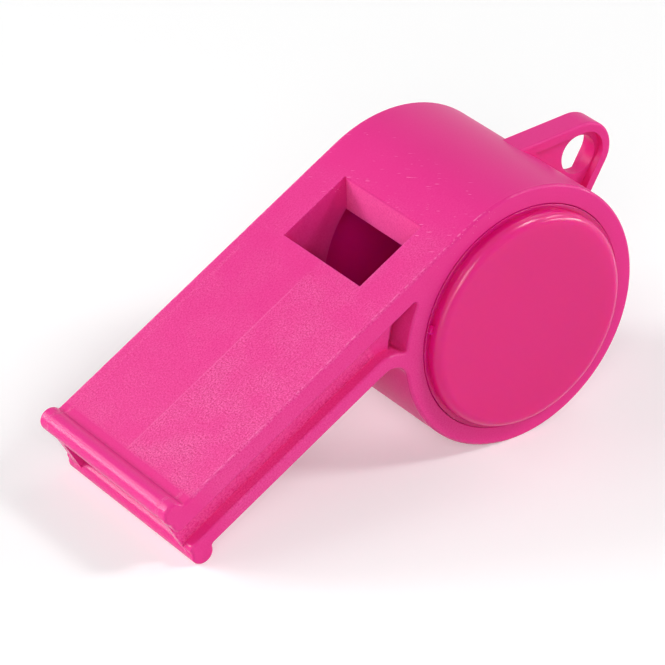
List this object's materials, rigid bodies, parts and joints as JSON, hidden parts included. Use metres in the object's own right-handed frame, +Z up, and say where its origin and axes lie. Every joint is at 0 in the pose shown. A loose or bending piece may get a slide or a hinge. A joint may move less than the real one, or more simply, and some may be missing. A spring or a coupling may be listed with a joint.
{
  "type": "sports whistle",
  "caption": "Pea whistle in glossy pink plastic: round barrel with a raised cap on each side, flat mouthpiece with beaded lips, slotted window and a lanyard lug.",
  "frame": {"origin": "on the table, under the middle of the whistle as it rests on its barrel and on the lower bead of its mouth", "axes": "+X along the whistle from the mouth towards the lanyard lug, +Y across towards the left cap, +Z up from the table"},
  "size_m": [0.0546, 0.022, 0.025],
  "materials": {
    "body_plastic": "moulded, fine spark-eroded grain",
    "cap_plastic": "moulded, smooth gloss",
    "cork": "cork, ground to a ball"
  },
  "bodies": {
    "whistle": {"whistle_body": "body_plastic", "right_cap": "cap_plastic", "left_cap": "cap_plastic"},
    "pea": {"pea": "cork"}
  },
  "joints": [
    {"name": "pea_orbit", "type": "hinge", "parent": "whistle", "child": "pea", "pos_m": [0.01063, 0, 0.0125], "axis": [0, 1, 0], "continuous": true}
  ]
}
